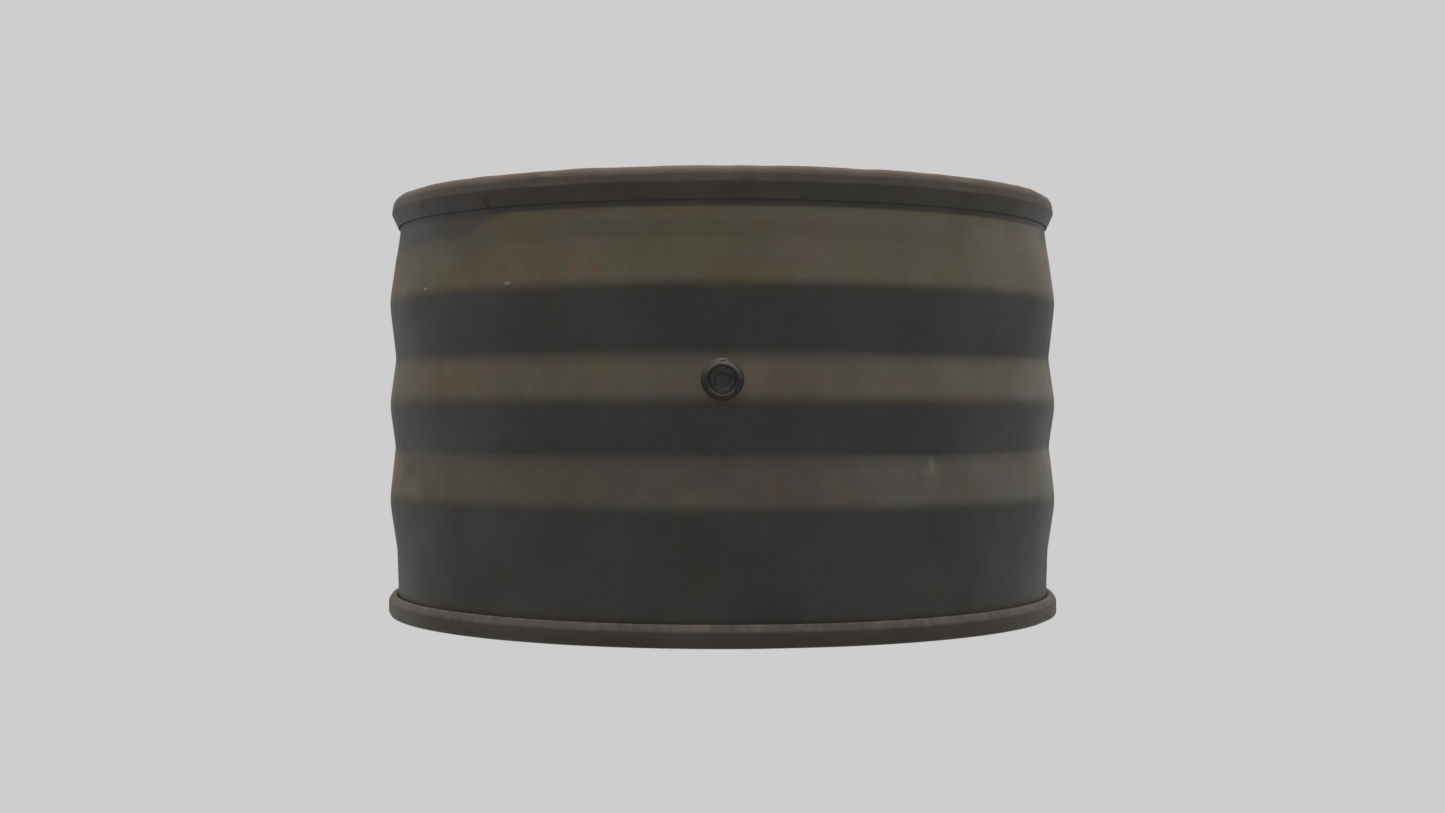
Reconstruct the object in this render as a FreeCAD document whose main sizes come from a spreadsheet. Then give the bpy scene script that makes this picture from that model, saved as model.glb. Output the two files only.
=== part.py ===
# Short open-head steel drum: hooped shell, seamed bottom head, side fitting with plug,
# gasketed lid with two threaded bungs, and a bolted closing ring.
# Millimetres.  The origin is on the drum axis at the level of the bottom chime, +Z up,
# and the side fitting looks along -Y.
import FreeCAD, Part
import os
import re
import Sketcher

doc = FreeCAD.newDocument("steel_drum")
sheet = doc.addObject("Spreadsheet::Sheet", "Sizes")

# Driving sizes: alias, value, meaning.
SIZES = (
    ("SheetGauge", 1.2, "thickness of shell, head and lid sheet"),
    ("BandGauge", 1.5, "thickness of the closing ring sheet"),
    ("Fit", 0.1, "radial play of a running fit"),
    ("Seat", 0.05, "play between faces that sit on each other"),
    # Shell wall, outside face, from the chime up.
    ("WallRadius", 284.1, "plain wall above the bottom chime"),
    ("WallTop", 26.0, "top of the plain wall"),
    ("FlareRadius", 285.2, "start of the lowest flare"),
    ("FlareHeight", 56.0, "height of that start"),
    ("LowHoopRadius", 291.6, "lowest hoop, corner before rounding"),
    ("LowHoopHeight", 101.0, "height of the lowest hoop"),
    ("LowWaistRadius", 286.6, "waist above the lowest hoop"),
    ("LowWaistHeight", 146.0, "height of that waist"),
    ("MidHoopRadius", 291.5, "middle hoop, corner before rounding"),
    ("MidHoopHeight", 182.3, "height of the middle hoop"),
    ("HighWaistRadius", 285.6, "waist above the middle hoop"),
    ("HighWaistHeight", 222.5, "height of that waist"),
    ("HighHoopRadius", 290.9, "highest hoop, corner before rounding"),
    ("HighHoopHeight", 269.5, "height of the highest hoop"),
    ("NeckRadius", 282.6, "neck under the top curl"),
    ("NeckHeight", 328.0, "foot of the neck"),
    ("HoopBend", 57.0, "rounding of the hoops"),
    ("WaistBend", 25.0, "rounding of the waists"),
    ("NeckBend", 12.0, "rounding at the foot of the neck"),
    ("CurlTop", 349.3, "inside top of the curl"),
    ("CurlReach", 4.0, "inside width of the curl"),
    ("CurlTuck", 1.3, "gap from the curl end to the neck"),
    ("CurlBend", 1.9, "inside rounding of the curl"),
    # Bottom double seam.
    ("FoldHeight", 3.6, "inside of the shell fold above the floor"),
    ("FoldWidth", 2.3, "inside width of the shell fold"),
    ("FoldBend", 1.0, "inside rounding of the fold"),
    ("BodyHookTop", 13.0, "top of the shell hook"),
    ("ChimeRadius", 292.5, "outside of the bottom chime"),
    ("ChimeBend", 2.4, "rounding of the chime"),
    ("ShoulderFoot", 12.5, "start of the sloping chime shoulder"),
    ("ShoulderTop", 24.5, "top of the shoulder, before rounding"),
    ("ShoulderFootBend", 5.0, "rounding at the foot of the shoulder"),
    ("ShoulderBend", 3.0, "rounding at the top of the shoulder"),
    ("HookGap", 0.4, "gap between the wall and the head hook"),
    ("HeadHookEnd", 6.0, "lower end of the head hook"),
    ("HeadHeight", 17.0, "underside of the bottom panel"),
    ("PanelBend", 4.0, "rounding from a panel to its upright wall"),
    ("CompoundTop", 11.0, "top of the seam compound"),
    ("CompoundBend", 1.4, "rounding of the seam compound"),
    # Stiffening beads of the two panels.
    ("BeadDepth", 3.5, "height of a bead above its panel"),
    ("BeadBend", 3.0, "rounding of the beads"),
    ("BeadFoot", 20.0, "width of a bead at its foot"),
    ("BeadCrown", 8.0, "width of a bead at its crown"),
    ("HeadBeadInner", 90.0, "middle of the inner bead of the bottom"),
    ("HeadBeadOuter", 180.0, "middle of the outer bead of the bottom"),
    ("LidBeadInner", 72.0, "middle of the inner bead of the lid"),
    ("LidBeadOuter", 142.0, "middle of the outer bead of the lid"),
    # Lid.
    ("LidPanel", 340.0, "top face of the lid panel"),
    ("LidRim", 356.4, "top of the lid channel"),
    ("LidWall", 279.5, "inside of the upright wall of the lid"),
    ("LidReach", 288.0, "outside of the lid channel"),
    ("LidSkirt", 350.8, "lower edge of the lid channel"),
    ("LidInnerBend", 2.6, "rounding of the inner channel corner"),
    ("LidOuterBend", 5.4, "rounding of the outer channel corner"),
    ("SealInner", 280.8, "inside of the lid gasket"),
    ("SealOuter", 286.6, "outside of the lid gasket"),
    ("SealTop", 355.0, "top of the lid gasket"),
    ("SealInnerEase", 1.0, "chamfer of the inner gasket corner"),
    ("SealOuterEase", 3.3, "chamfer of the outer gasket corner"),
    # Closing ring.
    ("RingTop", 358.0, "top of the closing ring"),
    ("RingReach", 289.8, "outside of the closing ring"),
    ("RingKnee", 346.8, "height where the ring turns inwards"),
    ("RingLipRadius", 284.2, "outside of the lower lip"),
    ("RingLipHeight", 333.0, "lower edge of the lip"),
    ("RingFlange", 281.5, "inner edge of the top flange"),
    ("RingTopBend", 7.2, "rounding of the top of the ring"),
    ("RingKneeBend", 8.0, "rounding of the knee"),
    ("RingGap", 20.0, "opening between the ring ends"),
    # Ring lugs and their bolt, 5/8-11.
    ("BoltOffset", 306.0, "bolt axis from the drum axis"),
    ("BoltHeight", 342.0, "bolt axis above the floor"),
    ("LugRadius", 12.5, "rounding of the lug around the bolt"),
    ("LugRoot", 278.0, "where the lug stock starts"),
    ("LugLength", 20.0, "length of a lug along the bolt"),
    ("LugEase", 1.5, "rounding of the lug edges"),
    ("BoltRadius", 7.94, "half the bolt thread"),
    ("BoltPlay", 0.6, "radial play in the plain lug and washers"),
    ("HexFlats", 23.8, "width across the flats of head and nut"),
    ("HeadLength", 10.7, "height of the bolt head"),
    ("HexChamfer", 1.6, "chamfer of the hexagon corners"),
    ("BoltTail", 10.0, "bolt beyond the threaded lug"),
    ("TipChamfer", 1.2, "chamfer of the bolt end"),
    ("WasherRadius", 15.0, "half the flat washer"),
    ("WasherGauge", 2.5, "thickness of both washers"),
    ("LockWasherRadius", 12.2, "half the lock washer"),
    ("NutLength", 9.5, "height of the jam nut"),
    # Side fitting, 3/4 inch, with a recessed plug.
    ("SocketHeight", 198.0, "axis of the side fitting"),
    ("SocketRadius", 14.0, "half the side fitting"),
    ("SocketFace", 305.0, "front face from the drum axis"),
    ("SocketRoot", 281.0, "where the fitting stock starts"),
    ("SocketBore", 10.0, "half the threaded bore"),
    ("SocketStep", 292.2, "bottom of the threaded bore"),
    ("SocketDrain", 7.0, "half the hole through the shell"),
    ("SocketRound", 2.5, "rounding of the front edge"),
    ("SocketFlareDepth", 1.2, "chamfer at the mouth of the bore"),
    ("WeldRoot", 284.0, "where the weld stock starts"),
    ("WeldReach", 18.5, "half the weld at its root"),
    ("WeldFace", 292.6, "front end of the weld"),
    ("PlugSealGauge", 1.4, "thickness of the side plug gasket"),
    ("PlugSealBore", 6.0, "half the opening of that gasket"),
    ("SidePlugLength", 4.8, "length of the side plug"),
    ("SideKeyRadius", 6.4, "half the hexagon key recess over corners"),
    ("SideKeyDepth", 3.2, "depth of the key recess"),
    # Threaded bungs of the lid, 2 inch and 3/4 inch.
    ("BungOffset", 212.0, "bung axes from the drum axis"),
    ("FlangeGauge", 3.0, "thickness of the flange plates"),
    ("FlangeSealGauge", 0.9, "thickness of the flange gaskets"),
    ("NeckWall", 3.0, "wall of the flange necks"),
    ("NeckRise", 6.0, "flange neck above the lid panel"),
    ("CollarRise", 4.5, "lid collar above the panel"),
    ("PlugSeat", 1.9, "thickness of the plug gaskets"),
    ("PlugCap", 4.5, "thickness of the plug heads"),
    ("PlugEase", 1.5, "rounding of the plug heads"),
    ("PlugEngage", 12.0, "threaded length of the plugs"),
    ("BungThread", 29.8, "half the two inch thread"),
    ("BungPlate", 42.0, "half the two inch flange plate"),
    ("BungCap", 35.0, "half the two inch plug head"),
    ("BungCup", 22.0, "half the wrench cup of the two inch plug"),
    ("BungCupDepth", 9.0, "depth of the wrench cup"),
    ("BungBar", 9.0, "width of the wrench bar"),
    ("BungBarHeight", 5.0, "height of the wrench bar"),
    ("VentThread", 13.1, "half the three quarter inch thread"),
    ("VentPlate", 24.0, "half the three quarter inch flange plate"),
    ("VentCap", 18.0, "half the three quarter inch plug head"),
    ("VentCup", 8.0, "half the square recess over corners"),
    ("VentCupDepth", 7.0, "depth of the square recess"),
    # Seam weld of the shell.
    ("SeamRise", 0.35, "height of the seam weld"),
    ("SeamAngle", 1.1, "width of the seam weld, degrees"),
    ("SeamPlace", 130.0, "turn of the seam weld about the axis, degrees"),
    ("SeamFoot", 30.0, "lower end of the seam weld"),
    ("SeamHead", 320.0, "upper end of the seam weld"),
)

# Sizes that follow from the driving ones: alias, formula.
DERIVED = (
    ("HookInner", "WallRadius + FoldWidth"),
    ("CurlOuter", "NeckRadius + CurlReach"),
    ("CurlLow", "CurlTop - CurlReach"),
    ("CurlEnd", "NeckRadius + CurlTuck"),
    ("ChuckInner", "WallRadius - 2 * SheetGauge - Fit"),
    ("HeadHookInner", "WallRadius + HookGap"),
    ("HeadBeadLow", "HeadHeight - BeadDepth"),
    ("LidBeadHigh", "LidPanel + BeadDepth"),
    ("SealFoot", "CurlTop + SheetGauge + Seat"),
    ("SealOuterTop", "SealTop - SealOuterEase"),
    ("SealOuterCrown", "SealOuter - SealOuterEase"),
    ("SealInnerTop", "SealTop - SealInnerEase"),
    ("SealInnerCrown", "SealInner + SealInnerEase"),
    ("FootSlope", "(FlareRadius - WallRadius) / (FlareHeight - WallTop)"),
    ("SeamFootRadius", "WallRadius + FootSlope * (SeamFoot - WallTop)"),
    ("NeckSlope", "(NeckRadius - HighHoopRadius) / (NeckHeight - HighHoopHeight)"),
    ("SeamHeadRadius", "HighHoopRadius + NeckSlope * (SeamHead - HighHoopHeight)"),
    ("CompoundInner", "HookInner + SheetGauge + Fit"),
    ("CompoundOuter", "ChimeRadius - SheetGauge - Fit"),
    ("CompoundFoot", "SheetGauge + Fit"),
    ("HalfGap", "RingGap / 2"),
    ("HexCorner", "HexFlats / 2 / cos(30)"),
    ("HexCrown", "HexCorner - HexChamfer"),
    ("WasherBore", "BoltRadius + BoltPlay"),
    ("LockBore", "BoltRadius + BoltPlay / 2"),
    ("ThreadedBore", "BoltRadius + Seat"),
    ("WasherFoot", "HalfGap + LugLength + Seat"),
    ("HeadFoot", "WasherFoot + WasherGauge + Seat"),
    ("ShankLength", "HeadFoot + HalfGap + LugLength + BoltTail"),
    ("HeadShoulder", "ShankLength + HeadLength - HexChamfer / 2"),
    ("HeadCrown", "ShankLength + HeadLength"),
    ("TipRadius", "BoltRadius - TipChamfer"),
    ("LockFoot", "HalfGap - Seat - WasherGauge"),
    ("NutFoot", "LockFoot - Seat - NutLength"),
    ("NutChamferHigh", "NutLength - HexChamfer / 2"),
    ("NutChamferLow", "HexChamfer / 2"),
    ("FlareMouth", "SocketBore + SocketFlareDepth"),
    ("FlareFoot", "SocketFace - SocketFlareDepth"),
    ("SidePlugRadius", "SocketBore - Fit"),
    ("SideSealFoot", "SocketStep + Seat"),
    ("SideSealTop", "SideSealFoot + PlugSealGauge"),
    ("SidePlugFoot", "SideSealTop + Seat"),
    ("SidePlugTop", "SidePlugFoot + SidePlugLength"),
    ("PanelUnder", "LidPanel - SheetGauge"),
    ("FlangeSealTop", "PanelUnder - Seat"),
    ("FlangeSealFoot", "FlangeSealTop - FlangeSealGauge"),
    ("FlangeTop", "FlangeSealFoot - Seat"),
    ("FlangeFoot", "FlangeTop - FlangeGauge"),
    ("NeckTop", "LidPanel + NeckRise"),
    ("CollarTop", "LidPanel + CollarRise"),
    ("SeatFoot", "NeckTop + Seat"),
    ("SeatTop", "SeatFoot + PlugSeat"),
    ("CapFoot", "SeatTop + Seat"),
    ("CapTop", "CapFoot + PlugCap"),
    ("PlugFoot", "CapFoot - PlugEngage"),
    ("BungBore", "BungThread + Fit"),
    ("BungNeck", "BungBore + NeckWall"),
    ("BungHole", "BungNeck + Fit"),
    ("BungCollar", "BungHole + SheetGauge"),
    ("BungSealOuter", "BungPlate - FlangeSealGauge"),
    ("BungSeatInner", "BungBore + Fit"),
    ("BungSeatOuter", "BungCap - Fit"),
    ("VentBore", "VentThread + Fit"),
    ("VentNeck", "VentBore + NeckWall"),
    ("VentHole", "VentNeck + Fit"),
    ("VentCollar", "VentHole + SheetGauge"),
    ("VentSealOuter", "VentPlate - FlangeSealGauge"),
    ("VentSeatInner", "VentBore + Fit"),
    ("VentSeatOuter", "VentCap - Fit"),
)
for bead_name in ("HeadBeadInner", "HeadBeadOuter", "LidBeadInner", "LidBeadOuter"):
    DERIVED += (
        (bead_name + "FootIn", bead_name + " - BeadFoot / 2"),
        (bead_name + "CrownIn", bead_name + " - BeadCrown / 2"),
        (bead_name + "CrownOut", bead_name + " + BeadCrown / 2"),
        (bead_name + "FootOut", bead_name + " + BeadFoot / 2"),
    )

row = 0
for alias, value, meaning in SIZES:
    row += 1
    sheet.set("A%d" % row, alias)
    sheet.set("B%d" % row, repr(value))
    sheet.set("C%d" % row, meaning)
    sheet.setAlias("B%d" % row, alias)
for alias, formula in DERIVED:
    row += 1
    sheet.set("A%d" % row, alias)
    sheet.set("B%d" % row, "=" + formula)
    sheet.setAlias("B%d" % row, alias)
doc.recompute()

FULL_TURN = 360.0
QUARTER_TURN = 90.0
SQUARE, HEXAGON = 4, 6
VERTICAL = FreeCAD.Vector(0, 0, 1)
UPRIGHT = FreeCAD.Rotation(FreeCAD.Vector(1, 0, 0), QUARTER_TURN)
TO_FRONT = FreeCAD.Rotation(FreeCAD.Vector(1, 0, 0), QUARTER_TURN)
TO_SIDE = FreeCAD.Rotation(FreeCAD.Vector(0, 1, 0), QUARTER_TURN)
START, END = 1, 2
ORIGIN, ACROSS, UP = -1, -2, -1
ON_AXIS = None


def sized(text):
    """A formula on the sheet, from one written with bare aliases."""
    return re.sub(r"\b([A-Z][A-Za-z]+)\b", r"Sizes.\1", text)


def bind(thing, **formulas):
    """Drive properties of a feature from the sheet; a double underscore stands for a dot."""
    for name, formula in formulas.items():
        thing.setExpression(name.replace("__", "."), sized(formula))
    return thing


def size_of(alias):
    """The number behind an alias, 0 for a place on the axis."""
    return 0.0 if alias is ON_AXIS else float(sheet.get(alias))


def draw(sketch, corners, bends, closed):
    """A run of straight lines through the corners, each coordinate bound to the sheet."""
    points = [FreeCAD.Vector(size_of(across), size_of(up), 0) for across, up in corners]
    pairs = list(zip(points, points[1:] + points[:1]))
    if not closed:
        pairs.pop()
    for first, second in pairs:
        sketch.addGeometry(Part.LineSegment(first, second), False)
    last = len(pairs) - 1
    for line in range(last):
        sketch.addConstraint(Sketcher.Constraint("Coincident", line, END, line + 1, START))
    if closed:
        sketch.addConstraint(Sketcher.Constraint("Coincident", last, END, 0, START))
    for index, (across, up) in enumerate(corners):
        line, place = (index, START) if index <= last else (last, END)
        for kind, alias, axis in (("DistanceX", across, ACROSS), ("DistanceY", up, UP)):
            if alias is ON_AXIS:
                sketch.addConstraint(Sketcher.Constraint("PointOnObject", line, place, axis))
                continue
            number = sketch.addConstraint(
                Sketcher.Constraint(kind, ORIGIN, START, line, place, size_of(alias)))
            sketch.setExpression("Constraints[%d]" % number, "Sizes." + alias)
    for index, alias in bends:
        line = (index - 1) % len(pairs)
        arc = sketch.GeometryCount
        sketch.fillet(line, END, size_of(alias), True, True)
        number = sketch.addConstraint(Sketcher.Constraint("Radius", arc, size_of(alias)))
        sketch.setExpression("Constraints[%d]" % number, "Sizes." + alias)


def outline(label, corners, bends=(), closed=False):
    """A sketch standing in the plane of the drum axis."""
    sketch = doc.addObject("Sketcher::SketchObject", label + "_outline")
    sketch.Placement = FreeCAD.Placement(FreeCAD.Vector(), UPRIGHT)
    draw(sketch, corners, bends, closed)
    return sketch


def spun(label, source, angle=FULL_TURN):
    """The solid that a flat outline sweeps about the drum axis."""
    ring = doc.addObject("Part::Revolution", label)
    ring.Source = source
    ring.Axis = VERTICAL
    ring.Angle = angle
    ring.Solid = True
    return ring


def sheet_ring(label, corners, bends, gauge):
    """A round pressing: a line of sheet spun about the drum axis.

    The corners run along one face; the sheet lies to their left, or to their right for a
    negative gauge."""
    band = doc.addObject("Part::Offset2D", label + "_section")
    band.Source = outline(label, corners, bends)
    band.Mode = "Skin"
    band.Fill = True
    bind(band, Value=gauge)
    return spun(label, band)


def turned(label, corners, bends=()):
    """A solid of revolution about its own upright axis, as a body."""
    body = doc.addObject("PartDesign::Body", label)
    sketch = body.newObject("Sketcher::SketchObject", label + "_outline")
    plane = [item for item in body.Origin.OriginFeatures if item.Role == "XZ_Plane"][0]
    sketch.AttachmentSupport = [(plane, "")]
    sketch.MapMode = "FlatFace"
    draw(sketch, corners, bends, True)
    turn = body.newObject("PartDesign::Revolution", label + "_turn")
    turn.Profile = sketch
    turn.ReferenceAxis = (sketch, ["V_Axis"])
    turn.Angle = FULL_TURN
    return body


def tube(label, inner, outer, foot, top, bends=()):
    """A plain ring between two radii and two heights."""
    return turned(label, ((inner, foot), (outer, foot), (outer, top), (inner, top)), bends)


def rod(label, radius, foot, top):
    """A plain round bar about the upright axis."""
    bar = doc.addObject("Part::Cylinder", label)
    bind(bar, Radius=radius, Height="%s - (%s)" % (top, foot), Placement__Base__z=foot)
    return bar


def prism(label, corners, circle, height):
    """An upright bar whose section is a regular polygon."""
    bar = doc.addObject("Part::Prism", label)
    bar.Polygon = corners
    bind(bar, Circumradius=circle, Height=height)
    return bar


def cut(label, stock, tool):
    """The stock with the tool taken away."""
    result = doc.addObject("Part::Cut", label)
    result.Base = stock
    result.Tool = tool
    return result


def fused(label, *pieces):
    """Several pieces made one."""
    result = doc.addObject("Part::MultiFuse", label)
    result.Shapes = list(pieces)
    result.Refine = True
    return result


def common(label, *pieces):
    """What several pieces share."""
    result = doc.addObject("Part::MultiCommon", label)
    result.Shapes = list(pieces)
    return result


def face_front(thing):
    """Stand a feature on the side fitting axis, its own Z looking along -Y."""
    thing.Placement = FreeCAD.Placement(FreeCAD.Vector(), TO_FRONT)
    return bind(thing, Placement__Base__z="SocketHeight")


def face_bolt(thing, along="0"):
    """Lay a feature on the bolt axis, its own Z looking along +X."""
    thing.Placement = FreeCAD.Placement(FreeCAD.Vector(), TO_SIDE)
    return bind(thing, Placement__Base__x=along, Placement__Base__y="BoltOffset",
                Placement__Base__z="BoltHeight")


nodes = []


def node(label, thing):
    """Mark a finished sub-part and give it its own label."""
    thing.Label = label
    nodes.append((label, thing))
    return thing


# ---- shell ------------------------------------------------------------------------------
WALL = (
    ("WallRadius", "WallTop"),
    ("FlareRadius", "FlareHeight"),
    ("LowHoopRadius", "LowHoopHeight"),
    ("LowWaistRadius", "LowWaistHeight"),
    ("MidHoopRadius", "MidHoopHeight"),
    ("HighWaistRadius", "HighWaistHeight"),
    ("HighHoopRadius", "HighHoopHeight"),
)
WALL_BENDS = ("WaistBend", "WaistBend", "HoopBend", "WaistBend", "HoopBend", "WaistBend",
              "HoopBend")
fold = (("HookInner", "BodyHookTop"), ("HookInner", "FoldHeight"), ("WallRadius", "FoldHeight"))
curl = (("NeckRadius", "NeckHeight"), ("NeckRadius", "CurlTop"), ("CurlOuter", "CurlTop"),
        ("CurlOuter", "CurlLow"), ("CurlEnd", "CurlLow"))
shell_bends = [(1, "FoldBend"), (2, "FoldBend")]
for step, bend in enumerate(WALL_BENDS + ("NeckBend",) + ("CurlBend",) * 3):
    shell_bends.append((len(fold) + step, bend))
shell_blank = sheet_ring("shell_blank", fold + WALL + curl, shell_bends, "SheetGauge")

# The solid space inside the outer face of the wall, around the side fitting.
envelope_run = WALL[3:]
envelope_corners = ((ON_AXIS, "LowWaistHeight"),) + envelope_run + ((ON_AXIS, "HighHoopHeight"),)
envelope_bends = [(2 + step, bend) for step, bend in enumerate(WALL_BENDS[4:6])]
envelope = spun("wall_envelope", outline("wall_envelope", envelope_corners, envelope_bends, True))

drain = face_front(rod("drain_hole", "SocketDrain", "0", "SocketFace"))
node("shell", cut("shell", shell_blank, drain))

# Seam weld: a thin strip that follows the wall.
seam_band = doc.addObject("Part::Offset2D", "seam_section")
seam_run = (("SeamFootRadius", "SeamFoot"),) + WALL[1:] + (("SeamHeadRadius", "SeamHead"),)
seam_bends = [(1 + step, bend) for step, bend in enumerate(WALL_BENDS[1:])]
seam_band.Source = outline("seam", seam_run, seam_bends)
seam_band.Mode = "Skin"
seam_band.Fill = True
bind(seam_band, Value="-SeamRise")
seam = spun("side_seam_weld", seam_band)
bind(seam, Angle="SeamAngle", Placement__Rotation__Angle="SeamPlace")
node("side_seam_weld", seam)


# ---- bottom head and its double seam ----------------------------------------------------
def bead(name, panel, crown):
    """Corners of one stiffening bead across a panel."""
    return ((name + "FootIn", panel), (name + "CrownIn", crown),
            (name + "CrownOut", crown), (name + "FootOut", panel))


head_corners = (((ON_AXIS, "HeadHeight"),)
                + bead("HeadBeadInner", "HeadHeight", "HeadBeadLow")
                + bead("HeadBeadOuter", "HeadHeight", "HeadBeadLow"))
bead_bends = [(index, "BeadBend") for index in range(1, len(head_corners))]
rim = len(head_corners)
head_corners += (("ChuckInner", "HeadHeight"), ("ChuckInner", ON_AXIS), ("ChimeRadius", ON_AXIS),
                 ("ChimeRadius", "ShoulderFoot"), ("HeadHookInner", "ShoulderTop"),
                 ("HeadHookInner", "HeadHookEnd"))
head_bends = list(bead_bends)
for step, bend in enumerate(("PanelBend", "ChimeBend", "ChimeBend", "ShoulderFootBend",
                             "ShoulderBend")):
    head_bends.append((rim + step, bend))
node("bottom_head", sheet_ring("bottom_head", head_corners, head_bends, "SheetGauge"))
node("seam_compound", tube("seam_compound", "CompoundInner", "CompoundOuter", "CompoundFoot",
                           "CompoundTop", [(1, "CompoundBend")]))

# ---- side fitting -----------------------------------------------------------------------
socket_corners = (("SocketDrain", "SocketRoot"), ("SocketRadius", "SocketRoot"),
                  ("SocketRadius", "SocketFace"), ("FlareMouth", "SocketFace"),
                  ("SocketBore", "FlareFoot"), ("SocketBore", "SocketStep"),
                  ("SocketDrain", "SocketStep"))
socket_stock = face_front(turned("socket_stock", socket_corners, [(2, "SocketRound")]))
node("side_socket", cut("side_socket", socket_stock, envelope))

weld_cone = doc.addObject("Part::Cone", "weld_cone")
bind(weld_cone, Radius1="WeldReach", Radius2="SocketRadius + Seat", Height="WeldFace - WeldRoot")
weld_cone.Placement = FreeCAD.Placement(FreeCAD.Vector(), TO_FRONT)
bind(weld_cone, Placement__Base__y="-WeldRoot", Placement__Base__z="SocketHeight")
weld_core = face_front(rod("weld_core", "SocketRadius", "0", "SocketFace"))
weld_ring = cut("weld_ring", weld_cone, fused("weld_inside", weld_core, envelope))
node("side_socket_weld", weld_ring)

node("side_plug_gasket", face_front(tube(
    "side_plug_gasket", "PlugSealBore", "SidePlugRadius", "SideSealFoot", "SideSealTop")))
side_plug_corners = ((ON_AXIS, "SidePlugFoot"), ("SidePlugRadius", "SidePlugFoot"),
                     ("SidePlugRadius", "SidePlugTop"), (ON_AXIS, "SidePlugTop"))
side_plug_stock = face_front(turned("side_plug_stock", side_plug_corners))
side_key = face_front(prism("side_key", HEXAGON, "SideKeyRadius", "SideKeyDepth"))
bind(side_key, Placement__Base__y="SideKeyDepth - SidePlugTop")
node("side_plug", cut("side_plug", side_plug_stock, side_key))

# ---- lid --------------------------------------------------------------------------------
lid_corners = (((ON_AXIS, "LidPanel"),)
               + bead("LidBeadInner", "LidPanel", "LidBeadHigh")
               + bead("LidBeadOuter", "LidPanel", "LidBeadHigh"))
rim = len(lid_corners)
lid_bends = [(index, "BeadBend") for index in range(1, rim)]
lid_corners += (("LidWall", "LidPanel"), ("LidWall", "LidRim"), ("LidReach", "LidRim"),
                ("LidReach", "LidSkirt"))
for step, bend in enumerate(("PanelBend", "LidInnerBend", "LidOuterBend")):
    lid_bends.append((rim + step, bend))
lid_blank = sheet_ring("lid_blank", lid_corners, lid_bends, "-SheetGauge")


def at_bung(thing, side):
    """Move a feature from the drum axis out to one of the two bung axes."""
    return bind(thing, Placement__Base__x="%s * BungOffset" % side)


BUNGS = (("bung", "Bung", "1"), ("vent", "Vent", "-1"))
collars = [at_bung(tube(name + "_collar", word + "Hole", word + "Collar", "PanelUnder",
                        "CollarTop"), side) for name, word, side in BUNGS]
holes = [at_bung(rod(name + "_hole", word + "Hole", "PanelUnder - SheetGauge", "NeckTop"), side)
         for name, word, side in BUNGS]
pierced = cut("lid_pierced", lid_blank, fused("lid_holes", *holes))
node("lid", fused("lid", pierced, *collars))
seal_corners = (("SealInner", "SealFoot"), ("SealOuter", "SealFoot"),
                ("SealOuter", "SealOuterTop"), ("SealOuterCrown", "SealTop"),
                ("SealInnerCrown", "SealTop"), ("SealInner", "SealInnerTop"))
node("lid_gasket", turned("lid_gasket", seal_corners))

for name, word, side in BUNGS:
    flange_corners = ((word + "Bore", "FlangeFoot"), (word + "Plate", "FlangeFoot"),
                      (word + "Plate", "FlangeTop"), (word + "Neck", "FlangeTop"),
                      (word + "Neck", "NeckTop"), (word + "Bore", "NeckTop"))
    node(name + "_flange", at_bung(turned(name + "_flange", flange_corners), side))
    node(name + "_flange_gasket", at_bung(tube(
        name + "_flange_gasket", word + "Hole", word + "SealOuter", "FlangeSealFoot",
        "FlangeSealTop"), side))
    node(name + "_plug_gasket", at_bung(tube(
        name + "_plug_gasket", word + "SeatInner", word + "SeatOuter", "SeatFoot", "SeatTop"),
        side))
    plug_corners = ((ON_AXIS, "PlugFoot"), (word + "Thread", "PlugFoot"),
                    (word + "Thread", "CapFoot"), (word + "Cap", "CapFoot"),
                    (word + "Cap", "CapTop"), (ON_AXIS, "CapTop"))
    plug = at_bung(turned(name + "_plug_stock", plug_corners, [(4, "PlugEase")]), side)
    if name == "bung":
        cup = rod("bung_cup", "BungCup", "CapTop - BungCupDepth", "CapTop")
        bar = doc.addObject("Part::Box", "bung_bar")
        bind(bar, Length="2 * BungCup + 2 * PlugEase", Width="BungBar", Height="BungBarHeight",
             Placement__Base__x="-(BungCup + PlugEase)", Placement__Base__y="-BungBar / 2",
             Placement__Base__z="CapTop - BungCupDepth")
        recess = at_bung(cut("bung_recess", cup, bar), side)
    else:
        recess = prism("vent_recess", SQUARE, "VentCup", "VentCupDepth")
        bind(recess, Placement__Base__z="CapTop - VentCupDepth")
        at_bung(recess, side)
    node(name + "_plug", cut(name + "_plug", plug, recess))


# ---- closing ring -----------------------------------------------------------------------
ring_corners = (("RingLipRadius", "RingLipHeight"), ("RingReach", "RingKnee"),
                ("RingReach", "RingTop"), ("RingFlange", "RingTop"))
ring_bends = [(1, "RingKneeBend"), (2, "RingTopBend")]
ring_hoop = sheet_ring("ring_hoop", ring_corners, ring_bends, "BandGauge")
ring_mouth = doc.addObject("Part::Box", "ring_mouth")
bind(ring_mouth, Length="RingGap", Width="RingReach", Height="2 * RingTop - 2 * RingLipHeight",
     Placement__Base__x="-HalfGap", Placement__Base__z="RingLipHeight - BandGauge")
node("ring_band", cut("ring_band", ring_hoop, ring_mouth))

# Lugs: an ear of stock around the bolt axis, trimmed back to the widest circle of the ring.
ring_space = rod("ring_space", "RingReach", "BoltHeight - RingReach", "BoltHeight + RingReach")


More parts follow.
